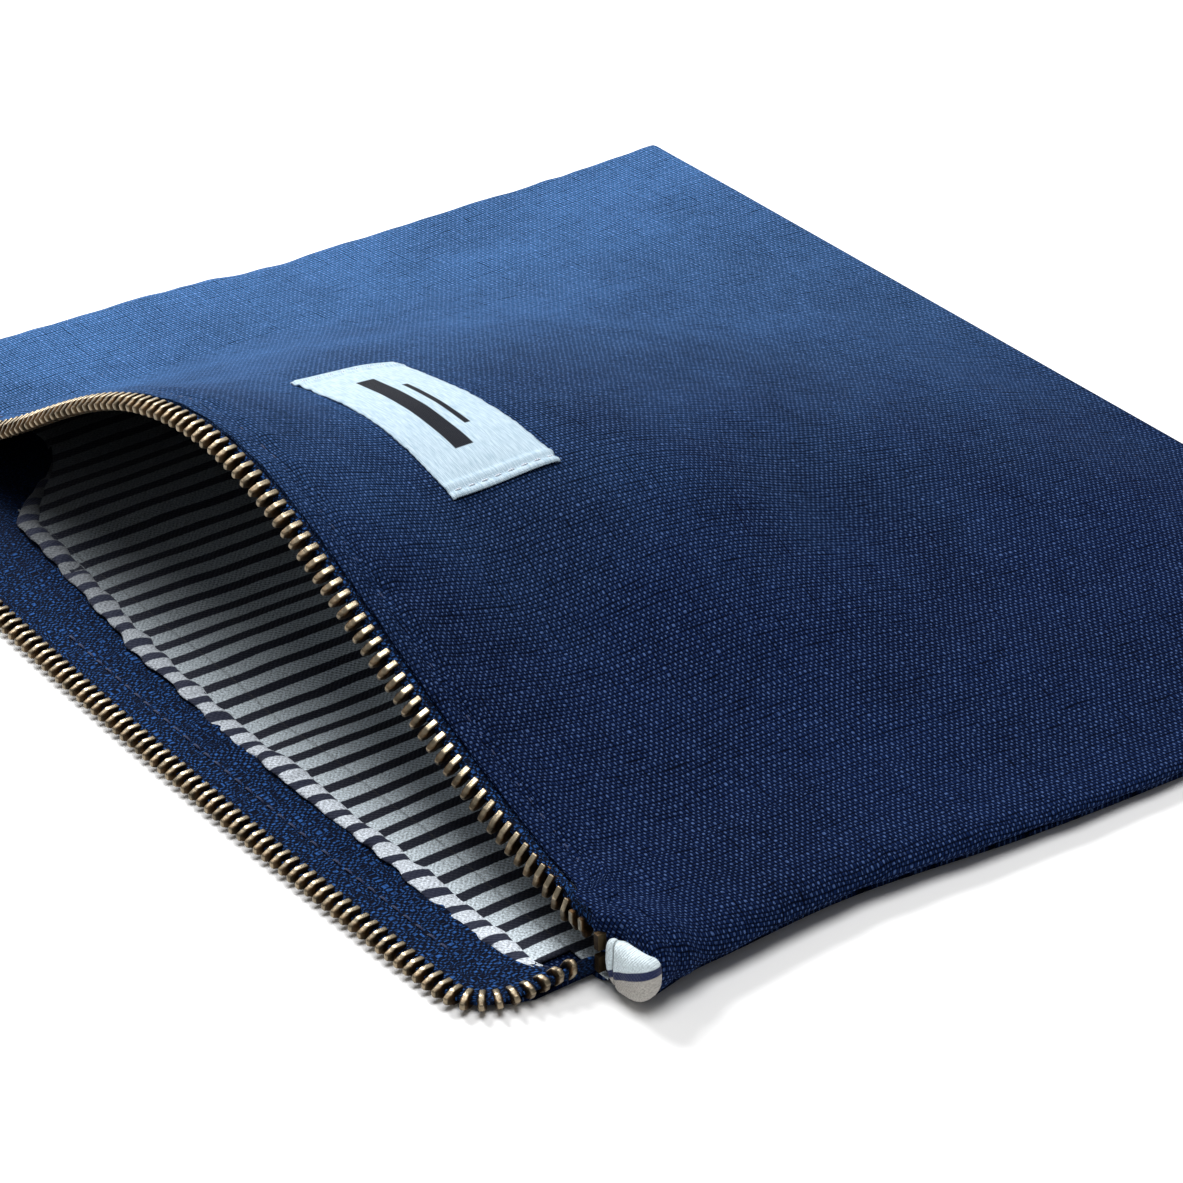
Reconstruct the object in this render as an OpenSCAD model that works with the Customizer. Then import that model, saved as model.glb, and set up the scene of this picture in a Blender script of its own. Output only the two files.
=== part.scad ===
// Flat zipped canvas pouch with a striped lining, lying on its lower panel
// with its mouth gaping. X runs along the zip, Y from the mouth to the
// bottom seam, Z up. The origin is on the table, in the middle of the pouch.

/* [Pouch] */
// Full width along the zip
pouch_w = 240; // [236:1:244]
// Depth from the front tooth tips to the bottom seam
pouch_d = 198.6; // [196:0.2:202]
// How far the side edges draw in towards the mouth
side_draw = 3; // [1:0.5:4]
// Height of the rounded side edges at the mouth
side_h_front = 12.2; // [12.2:0.2:13]
// Height of the rounded side edges at the bottom seam
side_h_back = 3.2; // [3.2:0.2:4]
// Soft loft of the panels between the edges
loft = 3; // [1:0.5:5]

/* [Mouth] */
// Height of the upper tooth row at the middle of the mouth
gape_h = 48; // [40:1:54]
// How far the lower lip lies in front of the zip's ends
lip_run = 22; // [20:0.5:24]
// Length over which the lower lip turns forward at the slider's end
lip_turn = 30; // [30:1:60]
// Where the upper lip starts to rise, at the slider's end
rise_left = 91; // [91:1:95]
// Where the upper lip starts to rise, at the right end
rise_right = 98; // [95:1:100]
// Width of the arch on its right side
arch_w = 64; // [58:1:68]

/* [Layers] */
// Thickness of the canvas
canvas_t = 0.9; // [0.7:0.1:1]
// Thickness of the lining
lining_t = 0.4; // [0.3:0.1:0.5]
// Thickness of the zip tape
tape_t = 0.5; // [0.4:0.1:0.6]
// Width of the zip tape behind its teeth
tape_w = 14; // [12:0.5:15]

/* [Zip] */
// Half the length of the tooth rows
zip_half = 105; // [104:0.5:106]
// Teeth in each row
tooth_count = 94; // [90:2:98]
// Length of a tooth, across the row
tooth_len = 3.8; // [3.6:0.1:3.8]
// Width of a tooth, along the row
tooth_w = 1.2; // [1:0.1:1.2]
// Height of a tooth, through the tape
tooth_h = 2.7; // [2.5:0.1:2.7]
// Height of the closed zip's middle above the table
zip_z = 6.3; // [6.3:0.1:6.6]

/* [Slider] */
// Length of the slider's plates
slider_len = 12; // [11.6:0.2:12]
// Width of the slider's plates
slider_w = 8.8; // [8.8:0.1:9]
// Thickness of the slider's plates
plate_t = 0.9; // [0.8:0.1:1]
// Length of the pull from its pivot
pull_len = 19.5; // [17:0.5:20]
// Width of the pull
pull_w = 5.2; // [5:0.1:5.4]
// Thickness of the pull
pull_t = 1; // [0.9:0.1:1]

/* [Label] */
// Length of the woven label, along the zip
label_w = 49; // [40:1:50]
// Depth of the woven label
label_d = 21; // [15:1:22]
// Distance of the label's middle in front of the pouch's middle
label_y = 35; // [28:1:36]

/* [Hidden] */

navy = "#22345c";
brass = "#7d5f3a";
stripe = "#c9ccd2";
thread = "#1b2a4d";

gap = 0.1;
y_back = pouch_d / 2;
row_front = -pouch_d / 2 + tooth_len / 2;
zip_y = row_front + lip_run;
lower_row_z = tooth_h / 2 + 0.2;
corner_x = 92;
corner_reach = 11.5;
lip_bow = 0.045;
bow_middle = 40;
bow_half = 60;
lip_rise = 0.3;
lift = 0.05;
row_half_gap = tooth_len / 2 + 0.05;
row_spread = 0.9;
lip_gap = 2.75;
leg_clear = 1.5;
steps = 84;

// ---- helpers --------------------------------------------------------
function clamp01(s) = min(1, max(0, s));
function smooth(s) = let (c = clamp01(s)) c * c * (3 - 2 * c);
function mix(a, b, s) = a + (b - a) * s;
function unit(v) = v / norm(v);
function steps_to(a, b, n) = [for (i = [0 : n]) mix(a, b, i / n)];

// ---- the two tooth rows ---------------------------------------------
// Distance of each row from the zip's middle where the rows run together
function row_offset(x) = row_half_gap + row_spread * smooth((97 - abs(x)) / 5);

// Rise of the upper lip, from 0 at the zip's ends to 1 in the middle
arch_foot = exp(-pow(rise_right / arch_w, 2));
function arch(x) =
    x < 0 ? (x < -rise_left ? 0 : pow(cos(90 * x / rise_left), 1.4))
          : (x > rise_right ? 0 : (exp(-pow(x / arch_w, 2)) - arch_foot) / (1 - arch_foot));

function upper_row(x) = let (end_z = zip_z + row_offset(x))
    [x, zip_y - 1.5 * arch(x), mix(end_z, gape_h, arch(x))];

// Share of the run that the lower lip has at x, and its slight bow
function reach(x) =
    smooth((x + rise_left) / lip_turn) * (1 - lip_bow * pow((x - bow_middle) / bow_half, 2));
function lower_z(r, x) = mix(zip_z - row_offset(x), lower_row_z, smooth(1.15 * r));
function lower_lip(x) = [x, zip_y - lip_run * reach(x), lower_z(reach(x), x)];

// The lower lip turns back to the end tab in a rounded corner
function corner_point(a) =
    let (r = reach(corner_x) * pow(cos(a), 2 / 3), x = corner_x + corner_reach * pow(sin(a), 2 / 3))
    [x, zip_y - lip_run * r, lower_z(r, 105 - 10 * r)];

upper_path = [for (x = steps_to(-zip_half, zip_half, steps)) upper_row(x)];
lower_path = concat([for (x = steps_to(-zip_half, corner_x, steps)) lower_lip(x)],
    [for (a = [8 : 8 : 88]) corner_point(a)]);

// A tooth points forward in the open mouth and towards the other row at the ends
function upper_roll(p) = 90 * (1 - pow(arch(p.x), 0.25));
function lower_roll(p) = 90 * (1 - pow(clamp01((zip_y - p.y) / lip_run), 0.6));

// Frame of a row at p with tangent t: [point, along, pointing, face normal]
function row_frame(p, t, roll, up) =
    let (flat = unit([t.y, -t.x, 0]),
         ahead = unit(cos(roll) * flat + sin(roll) * [0, 0, up]),
         along = unit(t - (t * ahead) * ahead))
    [p, along, ahead, cross(ahead, along)];

function upper_frame(p, t) = row_frame(p, t, upper_roll(p), -1);
function lower_frame(p, t) = row_frame(p, t, lower_roll(p), 1);

function tangent(path, i) =
    unit(path[min(i + 1, len(path) - 1)] - path[max(i - 1, 0)]);

// Running length of a path, and the place on it at length s
function running(path) = [for (i = 0, s = 0; i < len(path);
    s = s + (i + 1 < len(path) ? norm(path[i + 1] - path[i]) : 0), i = i + 1) s];
function seek(run, s, lo, hi) = hi - lo <= 1 ? lo :
    let (mid = floor((lo + hi) / 2)) run[mid] > s ? seek(run, s, lo, mid) : seek(run, s, mid, hi);
function place(path, run, s) = let (i = seek(run, s, 0, len(run) - 1))
    [mix(path[i], path[i + 1], (s - run[i]) / (run[i + 1] - run[i])),
     mix(tangent(path, i), tangent(path, i + 1), (s - run[i]) / (run[i + 1] - run[i]))];

// ---- the upper panel's shape ----------------------------------------
function half_w(y) = pouch_w / 2 - side_draw * (1 - smooth((y + 75) / 120));
function side_h(y) = mix(side_h_front, side_h_back, smooth((y + 85) / 165));
function side_r(y) = 0.6 * side_h(y);
foot_angle = -62;
loft_run = 40;
function foot_x(y) = half_w(y) - side_r(y) * (1 - cos(foot_angle));

// Height of the upper panel's outer face between the rounded sides
function canvas_z(x, y) =
    let (lip = upper_row(x),
         back = clamp01((y - lip.y) / (y_back - lip.y)),
         side = clamp01((half_w(y) - side_r(y) - abs(x)) / loft_run),
         lip_z = max(side_h_front, lip.z + tooth_h / 2 + lip_rise))
    side_h(y) + loft * smooth(side) * smooth(6 * (1 - back)) * smooth(2 * back)
    + (lip_z - side_h_front) * pow(1 - back, 1.1);

module placed(frame) {
    p = frame[0];
    x = frame[1];
    y = frame[2];
    z = frame[3];
    multmatrix([[x.x, y.x, z.x, p.x], [x.y, y.y, z.y, p.y], [x.z, y.z, z.z, p.z]]) children();
}

// Closed sheet from an outer and an inner grid of points with equal rows
module sheet(outer, inner) {
    rows = len(outer);
    cols = len(outer[0]);
    n = rows * cols;
    function at(r, c) = r * cols + c;
    points = concat([for (r = outer) each r], [for (r = inner) each r]);
    top = [for (r = [0 : rows - 2], c = [0 : cols - 2])
        each [[at(r, c), at(r + 1, c), at(r + 1, c + 1)], [at(r, c), at(r + 1, c + 1), at(r, c + 1)]]];
    bottom = [for (f = top) [n + f[2], n + f[1], n + f[0]]];
    rim = concat([for (c = [0 : cols - 1]) at(0, c)],
        [for (r = [1 : rows - 1]) at(r, cols - 1)],
        [for (c = [cols - 2 : -1 : 0]) at(rows - 1, c)],
        [for (r = [rows - 2 : -1 : 1]) at(r, 0)]);
    m = len(rim);
    walls = [for (i = [0 : m - 1]) let (a = rim[i], b = rim[(i + 1) % m])
        each [[a, b, n + b], [a, n + b, n + a]]];
    polyhedron(points, concat(top, bottom, walls));
}

// ---- canvas ---------------------------------------------------------
edge_cells = 12;

// Outline of a layer that lies flat: its front edge, and sides a margin in from the pouch's feet
module flat_layer(front, y0, y1, margin, thickness) {
    ys = steps_to(y0, y1, edge_cells);
    linear_extrude(thickness)
        polygon(concat(
            [for (i = [edge_cells : -1 : 0]) [margin - foot_x(ys[i]), ys[i]]],
            front,
            [for (y = ys) [foot_x(y) - margin, y]]));
}

module lower_panel() {
    front = [for (i = [0 : len(lower_path) - 1])
        let (p = lower_path[i], ahead = lower_frame(p, tangent(lower_path, i))[2], q = p - lip_gap * ahead)
        [q.x, max(q.y, p.y + 0.2)]];
    color(navy) flat_layer(front, zip_y + 3, y_back, 0, canvas_t);
}

side_cells = 5;
top_cells = 50;
corner_back = 4;
corner_from = 100;
corner_run = 6;

// Distance of the panel's front edge behind the row, clear of the legs of half-rolled teeth
function edge_behind(x) = let (roll = upper_roll([x, 0, 0]))
    lip_gap * cos(roll) + leg_clear * sin(roll) * cos(roll)
    + corner_back * smooth((abs(x) - corner_from) / corner_run);

// One row of the upper panel across the pouch; inset is the depth below its face
function canvas_section(v, inset) =
    let (y0 = mix(zip_y + corner_back, y_back, v), r = side_r(y0), h = side_h(y0), w = half_w(y0),
         arc = [for (a = steps_to(foot_angle, 90, side_cells))
             [w - r + (r - inset) * cos(a), mix(canvas_t + lift, h, 0.5 + 0.5 * sin(a)) - inset * sin(a)]])
    concat(
        [for (q = arc) [q.x, y0, max(canvas_t + lift, q.y)]],
        [for (i = [1 : top_cells - 1])
            let (x = (w - r) * (1 - 2 * i / top_cells),
                 y = mix(upper_row(x).y + edge_behind(x), y_back, v))
            [x, y, canvas_z(x, y) - inset]],
        [for (i = [side_cells : -1 : 0]) let (q = arc[i]) [-q.x, y0, max(canvas_t + lift, q.y)]]);

panel_rows = [0, 0.03, 0.07, 0.12, 0.18, 0.25, 0.33, 0.42, 0.52, 0.62, 0.72, 0.81, 0.89, 0.95, 0.98, 1];

module upper_panel() {
    color(navy)
        sheet([for (v = panel_rows) canvas_section(v, 0)],
            [for (v = panel_rows) canvas_section(v, canvas_t)]);
}

// ---- lining ---------------------------------------------------------
lining_margin = 3;

lining_side = 0.93;
lining_back = 4;

module lower_lining() {
    front = [for (i = [edge_cells : len(lower_path) - edge_cells]) let (p = lower_path[i])
        [p.x * lining_side, min(p.y + tape_w + 0.6, zip_y + lining_back)]];
    color(stripe)
        translate([0, 0, canvas_t + gap])
            flat_layer(front, zip_y + lining_back, y_back - lining_back, lining_margin, lining_t);
}

lining_cells = 18;

function lining_row(v, inset) =
    let (y = mix(zip_y + tape_w, y_back - 2 * lining_back, v), w = half_w(y) - side_r(y) - lining_margin)
    [for (i = [0 : 2 * lining_cells]) let (x = w * (1 - i / lining_cells))
        [x, y, max(canvas_t + 2 * lining_t + 2 * gap, canvas_z(x, y) - canvas_t - 4 * gap) - inset]];

module upper_lining() {
    rows = steps_to(0, 1, lining_cells);
    color(stripe)
        sheet([for (v = rows) lining_row(v, 0)], [for (v = rows) lining_row(v, lining_t)]);
}

// ---- zip ------------------------------------------------------------
slot_depth = 1;
end_trim = 1;
stand_roll = 35;

// Tape behind one row, narrow where the rows stand on edge at the ends
module tape(path, upper) {
    count = len(path) - 1;
    frames = [for (i = [0 : count]) let (p = path[i])
        upper ? upper_frame(p, tangent(path, i)) : lower_frame(p, tangent(path, i))];
    function width(i) = let (roll = upper ? upper_roll(path[i]) : lower_roll(path[i]))
        mix(lip_gap - 1, tape_w, clamp01(1 - roll / stand_roll));
    function line(i, side) = let (f = frames[i], w = width(i),
        near = f[0] - (tooth_len / 2 - slot_depth) * f[2] + side * tape_t / 2 * f[3],
        far = f[0] - w * f[2] + side * tape_t / 2 * f[3],
        floor_z = canvas_t + gap + (side + 1) / 2 * tape_t,
        under_z = canvas_z(far.x, far.y) - canvas_t - 2 * gap - (1 - side) / 2 * tape_t)
        [near, [far.x, far.y, upper ? (w > lip_gap ? min(far.z, under_z) : far.z) : max(far.z, floor_z)]];
    sheet([for (i = [end_trim : count - end_trim]) line(i, 1)],
        [for (i = [end_trim : count - end_trim]) line(i, -1)]);
}

module lower_zip_tape() {
    color(navy) tape(lower_path, false);
}

module upper_zip_tape() {
    color(navy) tape(upper_path, true);
}

// One tooth: two legs that clamp the tape's edge, and a narrower head
module tooth() {
    l = tooth_len / 2;
    h = tooth_h / 2;
    jaw = 0.45;
    head = 0.85;
    rotate([90, 0, 90])
        translate([0, 0, -tooth_w / 2])
            linear_extrude(tooth_w)
                polygon([[-l, -h], [-l, -jaw], [-l + slot_depth, -jaw], [-l + slot_depth, jaw], [-l, jaw],
                    [-l, h], [0.2, h], [0.8, head], [l, head], [l, -head], [0.8, -head], [0.2, -h]]);
}

module tooth_row(path, upper, phase) {
    run = running(path);
    pitch = run[len(run) - 1] / (tooth_count + 1);
    for (k = [0 : tooth_count - 1]) {
        spot = place(path, run, (k + 0.5 + phase) * pitch);
        placed(upper ? upper_frame(spot[0], spot[1]) : lower_frame(spot[0], spot[1])) tooth();
    }
}

module lower_zip_teeth() {
    color(brass) tooth_row(lower_path, false, 0.5);
}

module upper_zip_teeth() {
    color(brass) tooth_row(upper_path, true, 0);
}

stop_w = 1.1;
stop_h = 2.8;
bar_h = 6.8;

// A metal bar that holds the two rows together behind the slider
module bottom_stop() {
    color(brass)
        translate([-zip_half - stop_w, zip_y - tooth_h / 2, zip_z - bar_h / 2])
            cube([stop_w, tooth_h, bar_h]);
}

// One clamp on each tape at the closing end
module top_stops() {
    color(brass)
        for (side = [-1, 1])
            translate([zip_half + gap, zip_y - tooth_h / 2, zip_z + side * row_half_gap - stop_h / 2])
                cube([stop_w, tooth_h, stop_h]);
}

// ---- slider, at its place with the zip open -------------------------
slider_x = -97;
channel = tooth_h / 2 + 0.25;
flange_t = 0.4;
plate_y = -channel - plate_t;
bridge_x = [-3.4, 2.4];
bridge_t = 0.7;
bridge_w = 1.8;
bar_r = pull_t / 2;
bar_y = plate_y - 0.15 - bar_r;
bar_x = -2;
crown_y = bar_y - bar_r - 0.6;

module slider_plate() {
    l = slider_len / 2;
    w = slider_w / 2;
    rotate([90, 0, 0])
        linear_extrude(plate_t)
            polygon([[-l, -w + 1.2], [-l + 1.2, -w], [l - 1.6, -w], [l, -w + 1.6],
                [l, w - 1.6], [l - 1.6, w], [-l + 1.2, w], [-l, w - 1.2]]);
}

module slider_body() {
    l = slider_len / 2;
    w = slider_w / 2;
    flange_run = 4.6;
    color(brass)
        translate([slider_x, zip_y, zip_z])
            difference() {
                union() {
                    translate([0, -channel, 0]) slider_plate();
                    translate([0, channel + plate_t, 0]) slider_plate();
                    rotate([90, 0, 0])
                        translate([0, 0, -channel - 0.1])
                            linear_extrude(2 * channel + 0.2)
                                polygon([[2, 0], [4.2, 0.5], [l - 0.2, 0.3], [l - 0.2, -0.3], [4.2, -0.5]]);
                    for (top = [0, 1], back = [0, 1])
                        mirror([0, 0, top]) mirror([0, back, 0])
                            translate([-l + 1.2, -channel - 0.1, w - flange_t])
                                cube([flange_run, channel - 0.5, flange_t]);
                }
                translate([1, plate_y - 0.1, -0.5]) cube([0.8, plate_t + 0.2, 1]);
            }
}

// Arch that holds the pull's bar on the slider's outer plate
module slider_bridge() {
    color(brass)
        translate([slider_x, zip_y, zip_z])
            difference() {
                translate([bridge_x[0], crown_y - bridge_t, -bridge_w / 2])
                    cube([bridge_x[1] - bridge_x[0], plate_y - crown_y + bridge_t, bridge_w]);
                translate([bridge_x[0] + bridge_t, crown_y, -bridge_w])
                    cube([bridge_x[1] - bridge_x[0] - 2 * bridge_t, plate_y - crown_y + 1, 2 * bridge_w]);
            }
}

// Leaf spring under the bridge, whose tip reaches through the plate to the teeth
module lock_spring() {
    leaf = 0.25;
    color("silver")
        translate([slider_x, zip_y, zip_z]) {
            translate([-2.4, crown_y + 0.1, -0.6]) cube([3.9, leaf, 1.2]);
            translate([1.2, crown_y + 0.1, -0.35]) cube([0.3, -channel - 0.1 - crown_y - 0.1, 0.7]);
        }
}

// Flat pull with an eye round the bridge; it turns about its bar along Z
module pull_tab() {
    eye = 5.6;
    arm = 1.3;
    color(brass)
        translate([slider_x + bar_x, zip_y + bar_y, zip_z]) {
            cylinder(h = pull_w, r = bar_r, center = true, $fn = 32);
            rotate([90, 0, 0])
                translate([0, 0, -pull_t / 2])
                    linear_extrude(pull_t)
                        difference() {
                            union() {
                                translate([-pull_len + pull_w / 2, -pull_w / 2])
                                    square([pull_len - pull_w / 2, pull_w]);
                                translate([-pull_len + pull_w / 2, 0]) circle(d = pull_w, $fn = 40);
                            }
                            translate([-eye, -pull_w / 2 + arm]) square([eye + 1, pull_w - 2 * arm]);
                            translate([-pull_len + 3.2, 0]) circle(d = 2, $fn = 32);
                        }
        }
}

// ---- end tabs -------------------------------------------------------
tab_l = 10.5;
tab_t = 3.6;
tab_h = 8.8;
tab_yaw = 10;
tab_gap = 1.7;

// Folded loop of lining cloth, upright on the zip's end, with round folds
module end_tab() {
    color(stripe)
        rotate([0, 0, tab_yaw])
            linear_extrude(tab_h) {
                translate([tab_t / 2, -tab_t / 2]) square([tab_l - tab_t, tab_t]);
                for (x = [tab_t / 2, tab_l - tab_t / 2]) translate([x, 0]) circle(d = tab_t, $fn = 32);
            }
}

module end_tab_right() {
    translate([zip_half + tab_gap, zip_y - gap, canvas_t + lift]) end_tab();
}

module end_tab_left() {
    mirror([1, 0, 0]) end_tab_right();
}

// ---- label and threads ----------------------------------------------
label_t = 0.4;

// Outer face of the upper panel lifted by d, as a point
function on_canvas(x, y, d) = [x, y, canvas_z(x, y) + d];

module label() {
    function line(y, d) = [for (x = steps_to(label_w / 2, -label_w / 2, 14)) on_canvas(x, y, d)];
    ys = steps_to(-label_y - label_d / 2, -label_y + label_d / 2, 6);
    color("white")
        sheet([for (y = ys) line(y, gap + label_t)], [for (y = ys) line(y, gap)]);
}

// A stitch lies on the surface from point a to point b
module stitch(a, b, size) {
    along = unit(b - a);
    side = unit(cross([0, 0, 1], along));
    placed([(a + b) / 2, along, side, cross(along, side)])
        cube([norm(b - a), size, size], center = true);
}

stitch_d = 0.35;
stitch_l = 2.2;
stitch_pitch = 3.2;

module label_stitching() {
    height = gap + label_t + 2 * lift + stitch_d / 2;
    length = 1.6;
    pitch = 2.6;
    color(stripe)
        for (x = [-1, 1] * (label_w / 2 - 1.5), y = [1 : pitch : label_d - length]) {
            y0 = y - label_y - label_d / 2;
            stitch(on_canvas(x, y0, height), on_canvas(x, y0 + length, height), stitch_d);
        }
}

module upper_topstitch() {
    height = 0.3 + stitch_d / 2;
    function spot(x) = on_canvas(x, upper_row(x).y + lip_gap + 3, height);
    color(thread)
        for (x = [-96 : stitch_pitch : 96])
            stitch(spot(x), spot(x + stitch_l), stitch_d);
}

module lower_topstitch() {
    function spot(x) = [x, lower_lip(x).y + 6.5, lower_row_z + tape_t / 2 + gap + stitch_d / 2];
    color(thread)
        for (x = [-28 : stitch_pitch : 88])
            stitch(spot(x), spot(x + stitch_l), stitch_d);
}

seam_d = 0.3;
seam_pitch = 3;
seam_in = 1.6;
seam_z = canvas_t + gap + 0.2;

module side_seam_thread(side) {
    function spot(y) = [side * (foot_x(y) - seam_in), y, seam_z];
    color(thread)
        for (y = [zip_y + 8 : seam_pitch : y_back - 5])
            stitch(spot(y), spot(y + stitch_l), seam_d);
}

module left_seam_thread() {
    side_seam_thread(-1);
}

module right_seam_thread() {
    side_seam_thread(1);
}

module bottom_seam_thread() {
    y = y_back - seam_in;
    color(thread)
        for (x = [-114 : seam_pitch : 112])
            stitch([x, y, seam_z], [x + stitch_l, y, seam_z], seam_d);
}

lower_panel();
upper_panel();
lower_lining();
upper_lining();
lower_zip_tape();
upper_zip_tape();
lower_zip_teeth();
upper_zip_teeth();
bottom_stop();
top_stops();
slider_body();
slider_bridge();
lock_spring();
pull_tab();
end_tab_right();
end_tab_left();
label();
label_stitching();
upper_topstitch();
lower_topstitch();
left_seam_thread();
right_seam_thread();
bottom_seam_thread();
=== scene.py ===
import math

import bmesh
import bpy
import numpy as np
from mathutils import Matrix, Vector, noise
from mathutils.bvhtree import BVHTree


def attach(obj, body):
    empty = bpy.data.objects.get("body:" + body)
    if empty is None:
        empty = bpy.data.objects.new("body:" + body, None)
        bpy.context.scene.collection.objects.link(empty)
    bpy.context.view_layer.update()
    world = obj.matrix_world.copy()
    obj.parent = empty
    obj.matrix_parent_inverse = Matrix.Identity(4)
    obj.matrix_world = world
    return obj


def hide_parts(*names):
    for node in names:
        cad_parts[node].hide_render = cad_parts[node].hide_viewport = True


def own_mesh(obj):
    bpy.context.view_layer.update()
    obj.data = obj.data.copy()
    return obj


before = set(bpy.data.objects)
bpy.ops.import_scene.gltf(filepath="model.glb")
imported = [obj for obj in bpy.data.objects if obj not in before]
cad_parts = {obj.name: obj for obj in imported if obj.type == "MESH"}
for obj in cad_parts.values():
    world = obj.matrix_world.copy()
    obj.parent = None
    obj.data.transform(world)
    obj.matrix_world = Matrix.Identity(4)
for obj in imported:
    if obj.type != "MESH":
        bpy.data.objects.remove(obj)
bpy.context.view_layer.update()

# Looks of the flat zipped pouch: canvas, striped lining, zip, label and threads.
# Lengths are in millimetres until a mesh is made, which is in metres.

MM = 0.001

# ---- the pouch's driving dimensions, as in the CAD ----
POUCH_W = 240
POUCH_D = 198.6
SIDE_DRAW = 3
SIDE_H_FRONT = 12.2
SIDE_H_BACK = 3.2
LOFT = 3
GAPE_H = 48
LIP_RUN = 22
LIP_TURN = 30
RISE_LEFT = 91
RISE_RIGHT = 98
ARCH_W = 64
CANVAS_T = 0.9
LINING_T = 0.4
TAPE_T = 0.5
TAPE_W = 14
ZIP_HALF = 105
TOOTH_COUNT = 94
TOOTH_LEN = 3.8
TOOTH_W = 1.2
TOOTH_H = 2.7
ZIP_Z = 6.3
LABEL_W = 49
LABEL_D = 21
LABEL_Y = -35
GAP = 0.1
CORNER_X = 92
CORNER_REACH = 11.5
LIP_GAP = 2.75
LEG_CLEAR = 1.5
FOOT_ANGLE = -62
PATH_STEPS = 84
Y_BACK = POUCH_D / 2
ZIP_Y = -POUCH_D / 2 + TOOTH_LEN / 2 + LIP_RUN
LOWER_ROW_Z = TOOTH_H / 2 + 0.2
ARCH_FOOT = math.exp(-((RISE_RIGHT / ARCH_W) ** 2))
UP = np.array([0, 0, 1.0])

# ---- how the looks divide the cloth ----
CLOTH_T = 0.42          # one layer of canvas
HEM_DEPTH = 6           # canvas turned under at the lip
FOLD_R = 0.47           # radius of the lip's fold
STITCH_BACK = 3.7       # topstitch behind the lip's fold
FOLD_HEIGHT = 11.2      # the upper canvas is cut in two at this height
STRIPE = 5.3            # period of the lining's stripes
HEM_ROLL = 3.8          # width of the lining's rolled front hem
TAPE_EXTRA = 3.2        # how much more tape shows towards the slider's end
SIDE_FALL = 0.34        # how much of their height the sides lose where they roll over
SEAM_LEVEL = CANVAS_T + 0.05    # height at which the canvas's edges are sewn down
STITCH_PITCH = 3.2      # from one stitch of a topstitch to the next
STITCH_SHARE = 0.7      # share of the pitch that a stitch covers
TOPSTITCH_R = 0.2       # radius of the topstitch thread
SEAM_STITCH_R = 0.16    # radius of the seam threads
SEAM_PITCH = 3.0
SEAM_STITCH = 2.2       # length of one seam stitch
LINING_CLOTH_T = 0.3    # thickness drawn for the lining and the label
PANEL_CLOTH_T = 0.8     # thickness drawn for the lower canvas

# ---- teeth that already lie on the closed line ----
ROLLED_DEGREES = 55     # teeth rolled further than this already lie on the closed line

# ---- the gape's own shape: (middle x, middle y, reach x, reach y, height) ----
BULGE = (34, -10, 34, 25, 4.4)      # behind the label
DIP = (0, -47, 55, 12, -2.2)        # in front of it


def clamp01(s):
    return np.clip(s, 0, 1)


def smooth(s):
    c = clamp01(s)
    return c * c * (3 - 2 * c)


def mix(a, b, s):
    return a + (b - a) * s


def hump(distance, reach):
    """A bell that is 1 at distance 0 and has nearly died away at twice its reach."""
    return np.exp(-((distance / reach) ** 2))


def stacked(*parts):
    """Places from their coordinates, which may be numbers or grids."""
    return np.stack(np.broadcast_arrays(*parts), -1)


def unit(v):
    return v / np.maximum(np.linalg.norm(v, axis=-1, keepdims=True), 1e-9)


def row_offset(x):
    """Distance of each tooth row from the zip's middle where the rows run together."""
    return TOOTH_LEN / 2 + 0.05 + 0.9 * smooth((97 - np.abs(x)) / 5)


def arch(x):
    """Rise of the upper lip, from 0 at the zip's ends to 1 in the middle."""
    x = np.asarray(x, float)
    left = np.maximum(np.cos(np.radians(90 * np.clip(x, -RISE_LEFT, 0) / RISE_LEFT)), 0) ** 1.4
    right = (np.exp(-((np.clip(x, 0, RISE_RIGHT) / ARCH_W) ** 2)) - ARCH_FOOT) / (1 - ARCH_FOOT)
    return np.where(x < 0, left, right)


def upper_row(x):
    x = np.asarray(x, float)
    rise = arch(x)
    return stacked(x, ZIP_Y - 1.5 * rise, mix(ZIP_Z + row_offset(x), GAPE_H, rise))


def reach(x):
    """Share of its full run in front of the zip's ends that the lower lip has at x."""
    return smooth((x + RISE_LEFT) / LIP_TURN) * (1 - 0.045 * ((x - 40) / 60) ** 2)


def lower_z(r, x):
    return mix(ZIP_Z - row_offset(x), LOWER_ROW_Z, smooth(1.15 * r))


def lower_row(x):
    x = np.asarray(x, float)
    r = reach(x)
    return stacked(x, ZIP_Y - LIP_RUN * r, lower_z(r, x))


def lower_corner(angle):
    """The rounded corner in which the lower lip turns back to the end tab."""
    angle = np.radians(angle)
    r = reach(CORNER_X) * np.cos(angle) ** (2 / 3)
    x = CORNER_X + CORNER_REACH * np.sin(angle) ** (2 / 3)
    return stacked(x, ZIP_Y - LIP_RUN * r, lower_z(r, ZIP_HALF - 10 * r))


def upper_path(steps):
    return upper_row(np.linspace(-ZIP_HALF, ZIP_HALF, steps + 1))


def lower_path(steps, corner_steps):
    straight = lower_row(np.linspace(-ZIP_HALF, CORNER_X, steps + 1))
    return np.vstack([straight, lower_corner(np.linspace(88 / corner_steps, 88, corner_steps))])


def upper_roll(path):
    return np.radians(90 * (1 - arch(path[:, 0]) ** 0.25))


def lower_roll(path):
    return np.radians(90 * (1 - clamp01((ZIP_Y - path[:, 1]) / LIP_RUN) ** 0.6))


def path_tangents(path):
    n = len(path)
    ahead = np.minimum(np.arange(n) + 1, n - 1)
    behind = np.maximum(np.arange(n) - 1, 0)
    return unit(path[ahead] - path[behind])


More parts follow.
